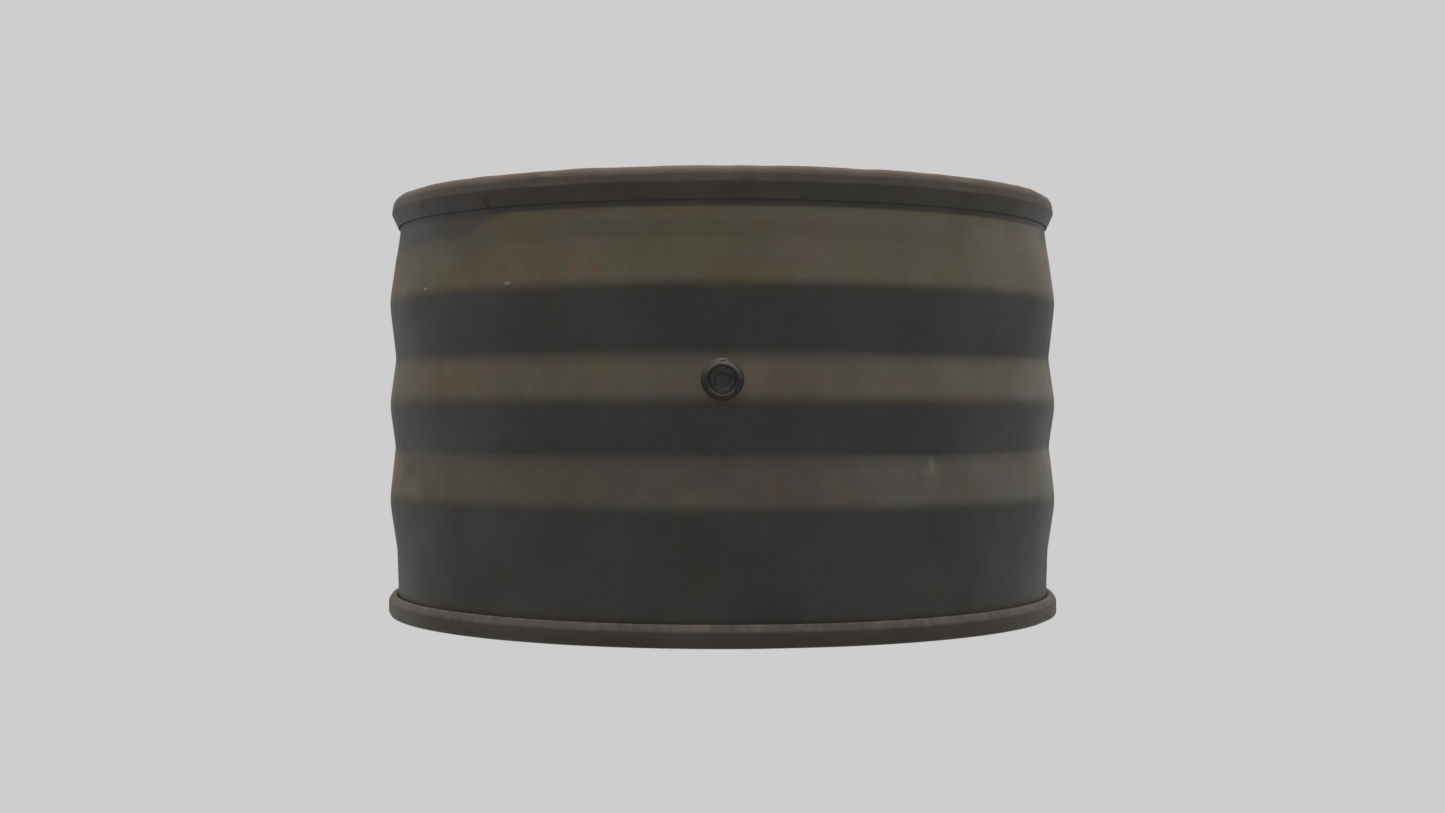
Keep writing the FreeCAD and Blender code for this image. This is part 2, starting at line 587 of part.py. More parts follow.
def lug(label, along, bore):
    """One ring lug: a block with a rounded outer end, bored for the bolt."""
    block = doc.addObject("Part::Box", label + "_block")
    bind(block, Length="LugLength", Width="BoltOffset - LugRoot", Height="2 * LugRadius",
         Placement__Base__x=along, Placement__Base__y="LugRoot",
         Placement__Base__z="BoltHeight - LugRadius")
    nose = face_bolt(rod(label + "_nose", "LugRadius", "0", "LugLength"), along)
    ear = fused(label + "_ear", block, nose)
    doc.recompute()
    eased = doc.addObject("Part::Fillet", label + "_eased")
    eased.Base = ear
    edges = []
    for number, edge in enumerate(ear.Shape.Edges, start=1):
        box = edge.BoundBox
        if box.XLength < size_of("Fit") and box.YMin > size_of("LugRoot"):
            edges.append((number, size_of("LugEase"), size_of("LugEase")))
    eased.Edges = edges
    hole = face_bolt(rod(label + "_hole", bore, "0", "LugLength"), along)
    waste = fused(label + "_waste", ring_space, hole)
    return cut(label, eased, waste)


node("ring_lug_plain", lug("ring_lug_plain", "HalfGap", "WasherBore"))
node("ring_lug_threaded", lug("ring_lug_threaded", "-HalfGap - LugLength", "ThreadedBore"))

# Bolt, jam nut and their washers.
node("bolt_washer", face_bolt(tube("bolt_washer", "WasherBore", "WasherRadius", ON_AXIS,
                                   "WasherGauge"), "WasherFoot"))
bolt_corners = ((ON_AXIS, ON_AXIS), ("TipRadius", ON_AXIS), ("BoltRadius", "TipChamfer"),
                ("BoltRadius", "ShankLength"), ("HexCorner", "ShankLength"),
                ("HexCorner", "HeadShoulder"), ("HexCrown", "HeadCrown"), (ON_AXIS, "HeadCrown"))
bolt_start = "HeadFoot - ShankLength"
bolt_blank = face_bolt(turned("bolt_blank", bolt_corners), bolt_start)
bolt_hex = face_bolt(prism("bolt_hex", HEXAGON, "HexCorner", "HeadLength"), "HeadFoot")
shank = face_bolt(rod("bolt_shank", "BoltRadius", "0", "ShankLength"), bolt_start)
bolt_form = fused("bolt_form", shank, bolt_hex)
node("closing_bolt", common("closing_bolt", bolt_blank, bolt_form))

node("lock_washer", face_bolt(tube("lock_washer", "LockBore", "LockWasherRadius", ON_AXIS,
                                   "WasherGauge"), "LockFoot"))
nut_corners = (("ThreadedBore", ON_AXIS), ("HexCrown", ON_AXIS), ("HexCorner", "NutChamferLow"),
               ("HexCorner", "NutChamferHigh"), ("HexCrown", "NutLength"),
               ("ThreadedBore", "NutLength"))
nut_blank = face_bolt(turned("nut_blank", nut_corners), "NutFoot")
nut_hex = face_bolt(prism("nut_hex", HEXAGON, "HexCorner", "NutLength"), "NutFoot")
node("jam_nut", common("jam_nut", nut_blank, nut_hex))

# ---- check and export -------------------------------------------------------------------
doc.recompute()
faults = []
for thing in doc.Objects:
    if {"Invalid", "Error"} & set(thing.State):
        faults.append("%s: %s" % (thing.Label, ", ".join(thing.State)))
for label, thing in nodes:
    shape = thing.Shape
    if shape.isNull() or not shape.isValid() or not shape.Solids:
        faults.append("%s: no valid solid" % label)
if faults:
    raise RuntimeError("; ".join(faults))

os.makedirs("parts", exist_ok=True)
for label, thing in nodes:
    thing.Shape.exportStep("parts/%s.step" % label)
print("%d sub-parts exported" % len(nodes))
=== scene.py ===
"""Looks of the short open-head steel drum: meshes, materials, light and camera."""

import math

import bpy
import numpy as np
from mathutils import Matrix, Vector


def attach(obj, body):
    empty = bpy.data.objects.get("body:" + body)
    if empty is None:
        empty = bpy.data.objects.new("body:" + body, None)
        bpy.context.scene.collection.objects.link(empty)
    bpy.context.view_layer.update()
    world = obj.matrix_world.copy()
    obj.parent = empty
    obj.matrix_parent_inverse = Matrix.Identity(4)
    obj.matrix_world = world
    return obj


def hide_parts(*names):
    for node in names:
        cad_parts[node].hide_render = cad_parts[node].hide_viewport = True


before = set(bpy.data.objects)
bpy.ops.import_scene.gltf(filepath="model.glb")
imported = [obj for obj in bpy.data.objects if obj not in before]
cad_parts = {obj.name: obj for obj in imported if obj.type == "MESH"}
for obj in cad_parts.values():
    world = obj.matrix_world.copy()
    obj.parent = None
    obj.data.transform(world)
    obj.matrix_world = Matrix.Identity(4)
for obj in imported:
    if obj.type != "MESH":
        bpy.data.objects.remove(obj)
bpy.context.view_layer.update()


MM = 0.001
TAU = 2 * math.pi
SOCKET_HEIGHT = 198.0
WALL_RADIUS = 288.0
scene = bpy.context.scene


# ---- section lines ----------------------------------------------------------------------
def rounded(corners, bends, step=0.6):
    """The line through (radius, height) corners in mm, its corners rounded."""
    points = [np.array(c, float) for c in corners]
    line = [points[0]]
    for index in range(1, len(points) - 1):
        here, radius = points[index], bends.get(index, 0.0)
        back = points[index - 1] - here
        ahead = points[index + 1] - here
        back_unit = back / np.linalg.norm(back)
        ahead_unit = ahead / np.linalg.norm(ahead)
        inside = math.acos(np.clip(back_unit @ ahead_unit, -1, 1))
        if radius <= 0 or math.pi - inside < 1e-3:
            line.append(here)
            continue
        reach = radius / math.tan(inside / 2)
        middle = here + (back_unit + ahead_unit) / np.linalg.norm(back_unit + ahead_unit) * (
            radius / math.sin(inside / 2))
        first, last = here + back_unit * reach, here + ahead_unit * reach
        start = math.atan2(*(first - middle)[::-1])
        sweep = math.atan2(*(last - middle)[::-1]) - start
        sweep = (sweep + math.pi) % TAU - math.pi
        count = max(3, int(abs(sweep) * radius / step) + 1)
        for part in range(count + 1):
            turn = start + sweep * part / count
            line.append(middle + radius * np.array([math.cos(turn), math.sin(turn)]))
    line.append(points[-1])
    return np.array(line)


def filled(line, step):
    """The same line with points no further apart than step."""
    out = [line[0]]
    for first, last in zip(line, line[1:]):
        count = max(1, int(math.ceil(np.linalg.norm(last - first) / step)))
        for part in range(1, count + 1):
            out.append(first + (last - first) * part / count)
    return np.array(out)


def sheet_section(line, gauge):
    """A closed section of sheet: the line and the same line moved to its left."""
    run = np.gradient(line, axis=0)
    run /= np.maximum(np.linalg.norm(run, axis=1), 1e-9)[:, None]
    left = np.stack([-run[:, 1], run[:, 0]], axis=1)
    return np.concatenate([line, (line + left * gauge)[::-1]])


# ---- meshes -----------------------------------------------------------------------------
def new_object(name, verts, faces, material, body, sharp=35.0):
    """A smooth-shaded mesh of one material, riding on a body."""
    mesh = bpy.data.meshes.new(name)
    mesh.from_pydata([tuple(v) for v in verts], [], [tuple(f) for f in faces])
    mesh.update()
    mesh.shade_smooth()
    mesh.set_sharp_from_angle(angle=math.radians(sharp))
    mesh.materials.append(material)
    item = bpy.data.objects.new(name, mesh)
    bpy.context.scene.collection.objects.link(item)
    if body:
        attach(item, body)
    return item


def around(section, turns, closed_turn, shape, holes=None):
    """Vertices and faces of a section (mm) swept about +Z; turns are angles from -Y."""
    turns = np.asarray(turns)
    turn, radius = np.meshgrid(turns, section[:, 0], indexing="ij")
    height = np.meshgrid(turns, section[:, 1], indexing="ij")[1]
    if shape is not None:
        radius, height = shape(turn, radius, height)
    verts = np.stack([np.sin(turn) * radius, -np.cos(turn) * radius, height], axis=-1) * MM
    many, count = len(turns), len(section)
    faces = []
    for i in range(many if closed_turn else many - 1):
        j = (i + 1) % many
        for k in range(count):
            m = (k + 1) % count
            face = (i * count + k, j * count + k, j * count + m, i * count + m)
            if holes is None or not holes(verts[i, k], verts[j, m]):
                faces.append(face)
    if not closed_turn:
        faces.append(tuple(range(count))[::-1])
        faces.append(tuple((many - 1) * count + k for k in range(count)))
    return verts.reshape(-1, 3), faces


def waves(seed, low, high, count):
    """Smooth random unevenness over (turn, height), about -1 to 1, whole about the axis."""
    random = np.random.default_rng(seed)
    terms = [(random.integers(low, high + 1), random.uniform(0.0, 0.03), random.uniform(0, TAU),
              random.uniform(-1, 1)) for _ in range(count)]

    def value(turn, height):
        total = 0.0
        for around_count, along, phase, weight in terms:
            total = total + weight * np.sin(around_count * turn + along * height + phase)
        return total / math.sqrt(count)

    return value


def dents(places):
    """Sum of soft dents: (turn deg, height mm, half width mm, half height mm, depth mm)."""
    def value(turn, height):
        total = 0.0
        for place, level, wide, tall, depth in places:
            away = (turn - math.radians(place) + math.pi) % TAU - math.pi
            across = away * WALL_RADIUS / wide
            along = (height - level) / tall
            total = total - depth * np.exp(-(across ** 2 + along ** 2))
        return total

    return value


# ---- shader nodes -----------------------------------------------------------------------
class Nodes:
    """Short names for building one material."""

    def __init__(self, name):
        self.material = bpy.data.materials.new(name)
        self.material.use_nodes = True
        self.tree = self.material.node_tree
        self.tree.nodes.clear()
        self.output = self.tree.nodes.new("ShaderNodeOutputMaterial")
        self.place = self.tree.nodes.new("ShaderNodeTexCoord").outputs["Object"]
        self.split = self.tree.nodes.new("ShaderNodeSeparateXYZ")
        self.tree.links.new(self.place, self.split.inputs[0])
        self.x, self.y, self.z = self.split.outputs

    def put(self, socket, value):
        """Link a socket, or set its plain value."""
        if isinstance(value, bpy.types.NodeSocket):
            self.tree.links.new(value, socket)
        elif hasattr(value, "__len__") and len(value) == 3 and socket.type == "RGBA":
            socket.default_value = (*value, 1.0)
        else:
            socket.default_value = value

    def math(self, operation, first, second=0.0, third=0.0):
        """One step of arithmetic."""
        node = self.tree.nodes.new("ShaderNodeMath")
        node.operation = operation
        for socket, value in zip(node.inputs, (first, second, third)):
            self.put(socket, value)
        return node.outputs[0]

    def scaled(self, x=1.0, y=1.0, z=1.0, shift=0.0):
        """The place on the drum, scaled along each axis and shifted."""
        node = self.tree.nodes.new("ShaderNodeMapping")
        self.put(node.inputs["Vector"], self.place)
        node.inputs["Scale"].default_value = (x, y, z)
        node.inputs["Location"].default_value = (shift, shift * 0.7, shift * 1.3)
        return node.outputs[0]

    def noise(self, scale, detail=4.0, rough=0.55, where=None, shift=0.0):
        """Soft random mottling, about 0.5 in the mean."""
        node = self.tree.nodes.new("ShaderNodeTexNoise")
        self.put(node.inputs["Vector"], where or self.scaled(shift=shift))
        node.inputs["Scale"].default_value = scale
        node.inputs["Detail"].default_value = detail
        node.inputs["Roughness"].default_value = rough
        return node.outputs["Fac"]

    def cells(self, scale):
        """Distance to the nearest of many scattered points."""
        node = self.tree.nodes.new("ShaderNodeTexVoronoi")
        self.put(node.inputs["Vector"], self.place)
        node.inputs["Scale"].default_value = scale
        return node.outputs["Distance"]

    def step(self, value, low, high, out_low=0.0, out_high=1.0):
        """A smooth step from out_low below low to out_high above high."""
        node = self.tree.nodes.new("ShaderNodeMapRange")
        node.interpolation_type = "SMOOTHSTEP"
        for socket, item in zip(node.inputs, (value, low, high, out_low, out_high)):
            self.put(socket, item)
        return node.outputs[0]

    def band(self, value, low, high, soft):
        """1 between low and high, with soft edges."""
        rise = self.step(value, low - soft, low + soft)
        fall = self.step(value, high - soft, high + soft, 1.0, 0.0)
        return self.math("MULTIPLY", rise, fall)

    def times(self, *values):
        """Product of all values."""
        total = values[0]
        for value in values[1:]:
            total = self.math("MULTIPLY", total, value)
        return total

    def mix(self, amount, first, second):
        """The first colour below 0, the second above 1, a mix between."""
        node = self.tree.nodes.new("ShaderNodeMix")
        node.data_type = "RGBA"
        self.put(node.inputs["Factor"], amount)
        self.put(node.inputs[6], first)
        self.put(node.inputs[7], second)
        return node.outputs[2]

    def blend(self, amount, first, second):
        """The same as mix, for single values."""
        node = self.tree.nodes.new("ShaderNodeMix")
        self.put(node.inputs["Factor"], amount)
        self.put(node.inputs[2], first)
        self.put(node.inputs[3], second)
        return node.outputs[0]

    def length(self, first, second):
        """Length of the line whose two parts these are."""
        squares = [self.math("POWER", value, 2.0) for value in (first, second)]
        return self.math("POWER", self.math("ADD", *squares), 0.5)

    def azimuth(self):
        """Angle about the drum axis in degrees, 0 at the front and positive to +X."""
        turn = self.math("ARCTAN2", self.x, self.math("MULTIPLY", self.y, -1.0))
        return self.math("DEGREES", turn)

    def up(self):
        """How much the surface looks up, from the shape itself."""
        node = self.tree.nodes.new("ShaderNodeNewGeometry")
        part = self.tree.nodes.new("ShaderNodeSeparateXYZ")
        self.tree.links.new(node.outputs["Normal"], part.inputs[0])
        return part.outputs[2]

    def bump(self, height, depth):
        """Fine relief of the surface, depth in metres."""
        node = self.tree.nodes.new("ShaderNodeBump")
        node.inputs["Strength"].default_value = 1.0
        node.inputs["Distance"].default_value = depth
        self.put(node.inputs["Height"], height)
        return node.outputs[0]

    def surface(self, color, rough, metal=0.0, normal=None, specular=0.8):
        """Finish the material and return it."""
        node = self.tree.nodes.new("ShaderNodeBsdfPrincipled")
        self.put(node.inputs["Base Color"], color)
        self.put(node.inputs["Roughness"], rough)
        self.put(node.inputs["Metallic"], metal)
        self.put(node.inputs["Specular IOR Level"], specular)
        if normal is not None:
            self.put(node.inputs["Normal"], normal)
        self.tree.links.new(node.outputs[0], self.output.inputs[0])
        return self.material


RUST = (0.075, 0.039, 0.022)
DEEP_RUST = (0.043, 0.021, 0.013)
# Near black, for the painted shade on the chime shoulder.
SHOULDER_SHADE = (0.017, 0.014, 0.012)
DUST = (0.150, 0.135, 0.107)


def shell_tones(n):
    """Olive paint, browner on one side of the fitting and bleached on the other, with painted
    shade in the waists and on every part that faces down or level.
    """
    side = n.math("SINE", n.math("RADIANS", n.azimuth()))
    drift = n.math("MULTIPLY", n.math("SUBTRACT", n.noise(8.0, 4, 0.6, shift=3.1), 0.5), 1.7)
    fade = n.math("MULTIPLY_ADD", n.math("ADD", side, drift), 0.5, 0.5)
    low = n.step(n.z, 0.15, 0.31, 1.0, 0.0)
    middle = n.mix(low, (0.099, 0.090, 0.058), (0.072, 0.065, 0.053))
    bleached = n.mix(low, (0.134, 0.117, 0.085), (0.142, 0.135, 0.105))
    color = n.mix(n.step(fade, 0.02, 0.50), (0.080, 0.064, 0.030), middle)
    color = n.mix(n.step(fade, 0.50, 1.0), color, bleached)
    brown = n.times(n.step(n.noise(15.0, 4, 0.6, shift=11.7), 0.50, 0.66),
                    n.step(fade, 0.25, 0.75, 0.85, 0.25))
    color = n.mix(brown, color, (0.100, 0.059, 0.028))
    color = n.mix(n.step(n.noise(19.0, 4, 0.6, shift=19.0), 0.53, 0.67, 0.0, 0.6), color,
                  (0.100, 0.095, 0.040))
    color = n.mix(n.step(n.noise(22.0, 4, 0.6, shift=23.0), 0.55, 0.69, 0.0, 0.5), color,
                  (0.133, 0.095, 0.070))
    # Painted shade: two bands about the waists, beneath the overhanging hoops, go near black, more
    # so on the browner side.
    painted_shade_in_waists = n.math("MAXIMUM", n.band(n.z, 0.2125, 0.2400, 0.005),
                   n.band(n.z, 0.1360, 0.1640, 0.005))
    color = n.mix(n.times(painted_shade_in_waists, n.step(fade, 0.5, 1.0, 0.62, 0.25)), color, (0.022, 0.018, 0.016))
    # Painted shade: wherever the surface faces down or only level, the colour goes near black.
    shaded = n.step(n.up(), -0.060, 0.075, 1.0, 0.0)
    return n.mix(n.times(shaded, 0.88), color, (0.016, 0.015, 0.016))


def head_tones(n):
    """The rolled chime: paint gone dark, its shoulder mixed almost to black as painted shade
    beneath the hoop above.
    """
    color = n.mix(n.step(n.noise(12.0, 4, 0.6, shift=5.0), 0.42, 0.62), (0.058, 0.043, 0.025),
                  (0.075, 0.062, 0.035))
    # Painted shade: the shoulder of the chime, beneath the overhanging hoop, goes almost black.
    shoulder = n.times(n.band(n.z, 0.0100, 0.0270, 0.0012),
                       n.step(n.length(n.x, n.y), 0.2830, 0.2845))
    return n.mix(n.times(shoulder, 0.93), color, SHOULDER_SHADE)


def lid_tones(n):
    """Dusty olive and brown of the lid."""
    color = n.mix(n.step(n.noise(6.0, 4, 0.6, shift=3.1), 0.40, 0.62), (0.054, 0.046, 0.025),
                  (0.047, 0.037, 0.022))
    return n.mix(n.step(n.noise(17.0, 4, 0.6, shift=11.7), 0.50, 0.66, 0.0, 0.7), color,
                 (0.043, 0.041, 0.025))


def ring_tones(n):
    """Thin old paint, gone brown, over a rusty band."""
    color = n.mix(n.step(n.noise(11.0, 4, 0.6, shift=7.1), 0.40, 0.62), (0.039, 0.030, 0.022),
                  (0.049, 0.035, 0.024))
    return n.mix(n.step(n.noise(28.0, 4, 0.6, shift=17.7), 0.52, 0.68, 0.0, 0.7), color,
                 (0.037, 0.034, 0.022))


def fitting_tones(n):
    """Dark paint, near black all over except a lighter arc along the top of the rounded front
    edge, which is a painted highlight.
    """
    color = n.mix(n.step(n.noise(60.0, 4, 0.6, shift=7.1), 0.40, 0.62), (0.052, 0.044, 0.035),
                  (0.041, 0.035, 0.029))
    aside = n.length(n.x, n.math("SUBTRACT", n.z, SOCKET_HEIGHT * MM))
    # Painted highlight: the upper arc of the rounded front edge keeps the lighter paint;
    # everything else goes near black.
    wear_and_painted_highlight = n.times(n.step(aside, 0.0108, 0.0124), n.step(aside, 0.0132, 0.0142, 1.0, 0.0),
                   n.step(n.z, 0.1970, 0.2100))
    return n.mix(n.math("SUBTRACT", 0.93, n.times(wear_and_painted_highlight, 0.90)), color, (0.014, 0.013, 0.013))


def painted(name, tones, rust_level, dust_level, extra=None):
    """Old matt paint: mottled, streaked, dusty, with rust breaking through."""
    n = Nodes(name)
    streak = n.noise(1.0, 4, 0.6, where=n.scaled(46, 46, 4, shift=5.0))
    fine = n.noise(140.0, 5, 0.65, shift=2.0)
    color = n.mix(n.step(streak, 0.46, 0.72, 0.0, 0.28), tones(n), (0.065, 0.054, 0.034))
    rust_field = n.math("ADD", n.noise(24.0, 6, 0.7, shift=31.0),
                        n.math("MULTIPLY", n.noise(90.0, 5, 0.7, shift=37.0), 0.35))
    rust = n.step(rust_field, 0.83 - rust_level, 0.95 - rust_level)
    color = n.mix(n.times(rust, 0.8), color, n.mix(fine, DEEP_RUST, RUST))
    dust = n.times(n.step(n.up(), 0.55, 0.98), n.step(n.noise(30.0, 5, 0.6), 0.3, 0.7), dust_level)
    color = n.mix(dust, color, DUST)
    color = n.mix(n.step(fine, 0.40, 0.78, 0.0, 0.20), color, (0.122, 0.107, 0.075))
    rough = n.blend(rust, n.step(n.noise(13.0, 4, 0.6, shift=11.7), 0.3, 0.7, 0.56, 0.68), 0.85)
    relief = n.math("ADD", n.times(fine, 0.5), n.times(rust, n.noise(260.0, 4, 0.7), 0.9))
    normal = n.bump(relief, 0.0002)
    if extra:
        color, rough = extra(n, color, rough)
    return n.surface(color, rough, 0.0, normal)


def shell_marks(n, color, rough):
    """Dark patches just beneath the ring, painted highlights, a painted shadow, pale specks and
    worn hoops of the shell.
    """
    turn = n.azimuth()
    wobble = n.math("MULTIPLY", n.math("SUBTRACT", n.noise(26.0, 4, 0.6), 0.5), 0.014)
    level = n.math("ADD", n.z, wobble)
    # Darker patches just beneath the ring, on the left and on the right side of the shell.
    edge = n.step(turn, -50.0, -33.0, 0.3085, 0.3300)
    blotch = n.times(n.step(turn, -38.0, -33.0, 1.0, 0.0), n.step(turn, -100.0, -84.0),
                    n.step(n.math("SUBTRACT", level, edge), -0.004, 0.005), 0.90)
    veil = n.times(n.step(turn, -46.0, -36.0, 1.0, 0.0), n.step(turn, -104.0, -88.0),
                   n.step(level, 0.290, 0.310), 0.38)
    right = n.times(n.step(turn, 66.0, 74.0), n.step(turn, 92.0, 108.0, 1.0, 0.0),
                    n.step(level, 0.312, 0.322), 0.80)
    color = n.mix(n.math("MAXIMUM", n.math("MAXIMUM", blotch, veil), right), color,
                  (0.018, 0.015, 0.013))
    # Painted highlight: an orange patch near the left edge of the shell, on a lit band.
    painted_edge_highlight = n.times(n.band(turn, -92.0, -70.0, 7.0), n.band(level, 0.116, 0.139, 0.006), 0.8)
    color = n.mix(painted_edge_highlight, color, (0.210, 0.133, 0.055))
    # Painted shadow: a faint darker mark on the wall below the side fitting.
    painted_fitting_shadow = n.times(n.band(turn, -1.6, 0.4, 0.9), n.band(n.z, 0.120, 0.143, 0.008), 0.45)
    color = n.mix(painted_fitting_shadow, color, (0.040, 0.034, 0.031))
    # Painted highlight: a pale mark on the small dent to the right of the fitting.
    painted_dent_highlight = n.times(n.band(turn, 33.4, 34.4, 0.5), n.band(n.z, 0.131, 0.141, 0.003), 0.7)
    color = n.mix(painted_dent_highlight, color, (0.190, 0.177, 0.150))
    crest = 0.0
    for height in (0.051, 0.091, 0.135):
        near = n.band(n.math("ADD", n.z, n.math("MULTIPLY", wobble, 0.5)),
                      height - 0.003, height + 0.003, 0.003)
        crest = n.math("ADD", crest, near)
    # Browner, rubbed paint along three hoops; no painted light here.
    wear_and_painted_highlight = n.times(crest, n.step(n.noise(16.0, 5, 0.7, shift=41.0), 0.45, 0.7), 0.5)
    color = n.mix(wear_and_painted_highlight, color, (0.062, 0.043, 0.030))
    pale = n.times(n.step(n.cells(60.0), 0.035, 0.075, 1.0, 0.0),
                   n.step(n.noise(7.0, 2, 0.5, shift=53.0), 0.58, 0.66), 0.5)
    color = n.mix(pale, color, (0.170, 0.155, 0.125))
    for place in (-55.2, -34.6):
        speck = n.times(n.band(turn, place - 0.6, place + 0.6, 0.3),
                        n.band(n.z, 0.2722, 0.2745, 0.0006), 0.9)
        color = n.mix(speck, color, (0.300, 0.285, 0.250))
    return color, rough


def ring_marks(n, color, rough):
    """A painted highlight on the lip of the closing ring, a lighter streaky patch with a bright
    line in it, and its rusty top.
    """
    turn = n.azimuth()
    top = n.step(n.z, 0.3520, 0.3570)
    patchy = n.step(n.noise(20.0, 5, 0.65, shift=43.0), 0.36, 0.60, 0.25, 0.85)
    color = n.mix(n.times(top, patchy), color, (0.050, 0.032, 0.022))
    jag = n.math("MULTIPLY", n.math("SUBTRACT", n.noise(240.0, 3, 0.6), 0.5), 1.4)
    across = n.math("ADD", turn, jag)
    # Painted highlight: a lighter streaky patch on the lip, also a little less rough.
    painted_lip_highlight = n.times(n.band(across, 1.9, 11.6, 0.3), n.band(n.z, 0.3345, 0.3383, 0.0008))
    streaks = n.noise(1.0, 3, 0.6, where=n.scaled(60, 60, 1500))
    color = n.mix(n.times(painted_lip_highlight, n.step(streaks, 0.3, 0.7, 0.25, 0.8)), color,
                  (0.110, 0.067, 0.060))
    # Painted highlight: a thin bright line along the lip.
    line = n.times(n.band(across, 7.4, 11.4, 0.4), n.band(n.z, 0.3370, 0.3379, 0.0004))
    color = n.mix(n.times(line, 0.9), color, (0.330, 0.300, 0.285))
    return color, n.blend(n.times(painted_lip_highlight, 0.6), rough, 0.45)


def metal(name, tint, rough_low, rough_high, tarnish):
    """Dull plated steel with stains and fine scratches."""
    n = Nodes(name)
    blotch = n.noise(60.0, 5, 0.65, shift=3.0)
    fine = n.noise(420.0, 4, 0.6, shift=9.0)
    color = n.mix(n.step(blotch, 0.42, 0.66), tint, tarnish)
    color = n.mix(n.step(n.noise(150.0, 5, 0.7, shift=15.0), 0.62, 0.72, 0.0, 0.7), color,
                  (0.13, 0.065, 0.038))
    rough = n.step(blotch, 0.3, 0.7, rough_low, rough_high)
    scratch = n.noise(1.0, 3, 0.6, where=n.scaled(900, 120, 120))
    normal = n.bump(n.math("ADD", fine, n.times(scratch, 0.5)), 0.00008)
    return n.surface(color, rough, 0.85, normal)


def soft(name, tint, rough):
    """Plain dark stuff with a fine grain: rubber, compound, grime."""
    n = Nodes(name)
    grain = n.noise(300.0, 4, 0.6)
    color = n.mix(n.noise(45.0, 4, 0.6), tint, tuple(c * 1.9 + 0.01 for c in tint))
    return n.surface(color, n.step(grain, 0.3, 0.7, rough - 0.08, rough + 0.08), 0.0,
                     n.bump(grain, 0.0001))


SHELL_PAINT = painted("shell_paint", shell_tones, -0.02, 0.0, shell_marks)
HEAD_PAINT = painted("head_paint", head_tones, 0.02, 0.0)
LID_PAINT = painted("lid_paint", lid_tones, 0.09, 0.16)
RING_PAINT = painted("ring_paint", ring_tones, 0.06, 0.12, ring_marks)
FITTING_PAINT = painted("fitting_paint", fitting_tones, 0.02, 0.0,
                        lambda n, color, rough: (color, n.blend(0.7, rough, 0.90)))
ZINC = metal("zinc_steel", (0.36, 0.35, 0.32), 0.38, 0.62, (0.20, 0.185, 0.155))
PLUG_METAL = metal("plug_steel", (0.24, 0.22, 0.19), 0.45, 0.70, (0.10, 0.088, 0.072))
RUBBER = soft("rubber", (0.010, 0.010, 0.010), 0.72)
COMPOUND = soft("seam_compound", (0.032, 0.027, 0.020), 0.62)
GRIMY_PLUG = soft("grimy_plug", (0.018, 0.017, 0.016), 0.52)

# ---- shell ------------------------------------------------------------------------------
WALL = ((286.4, 13.0), (286.4, 3.6), (284.1, 3.6), (284.1, 26.0), (285.2, 56.0),
        (291.6, 98.0), (286.6, 144.2), (291.5, 180.6), (285.6, 220.4), (290.9, 268.0),
        (282.6, 328.0), (282.6, 349.3), (286.6, 349.3), (286.6, 345.3), (283.9, 345.3))
BENDS = {1: 1.0, 2: 1.0, 3: 25.0, 4: 25.0, 5: 76.0, 6: 32.0, 7: 66.0, 8: 38.0, 9: 62.0,
         10: 12.0, 11: 1.9, 12: 1.9, 13: 1.9}

shell_waves = waves(11, 2, 7, 9)
shell_ripple = waves(12, 9, 26, 12)
shell_dents = dents(((34, 138, 7, 11, 0.7), (-112, 245, 34, 20, 2.4), (74, 150, 30, 16, 1.6),
                     (141, 95, 40, 26, 2.8), (-152, 170, 22, 30, 1.8), (-63, 120, 16, 10, 0.9),
                     (102, 300, 30, 12, 1.4)))


def calm_ends(height, low=30.0, high=318.0, soft=14.0):
    """1 on the open wall, 0 near the seams."""
    rise = np.clip((height - low) / soft, 0, 1)
    fall = np.clip((high - height) / soft, 0, 1)
    return rise * fall


CALM_REACH = 34.0


def shell_shape(turn, radius, height):
    """Waves and dents of the open wall, calm at the seams and at the side fitting."""
    at_socket = np.exp(-((turn * WALL_RADIUS / CALM_REACH) ** 2
                         + ((height - SOCKET_HEIGHT) / CALM_REACH) ** 2))
    free = calm_ends(height) * (1 - at_socket)
    push = 0.55 * shell_waves(turn, height) + 0.10 * shell_ripple(turn, height)
    push = push + shell_dents(turn, height)
    sway = 0.5 * shell_waves(turn, 0 * height + 40.0)
    return radius + push * free, height + sway * free


def near_drain(first, last):
    """Faces of the wall behind the bore of the side fitting."""
    middle = (first + last) / 2
    return middle[1] < 0 and abs(middle[0]) < 0.0085 and abs(middle[2] - 0.198) < 0.0085


SEGMENTS = 720
full = np.linspace(0, TAU, SEGMENTS, endpoint=False)
shell_line = filled(rounded(WALL, BENDS), 3.0)
shell = new_object("shell_skin", *around(sheet_section(shell_line, 1.2), full, True,
                                         shell_shape, near_drain), SHELL_PAINT, "drum")
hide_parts("shell")

# Seam weld: a thin strip that follows the uneven wall.
SEAM_PLACE, SEAM_WIDTH, SEAM_RISE, SEAM_ROOT = 220.0, 1.1, 0.35, 0.3
wall_run = shell_line[(shell_line[:, 1] > 30.0) & (shell_line[:, 1] < 320.0)]
seam_section = np.concatenate([wall_run + [SEAM_RISE, 0], (wall_run - [SEAM_ROOT, 0])[::-1]])
seam_turns = np.radians(SEAM_PLACE + SEAM_WIDTH * np.linspace(-0.5, 0.5, 9))
seam = new_object("seam_strip", *around(seam_section, seam_turns, False, shell_shape), SHELL_PAINT,
                  "drum")
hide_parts("side_seam_weld")

# ---- bottom head and closing ring -------------------------------------------------------
def bead_corners(middle, level, crown):
    """Four corners of a stiffening bead about the given radius."""
    return [(middle - 10, level), (middle - 4, crown), (middle + 4, crown), (middle + 10, level)]


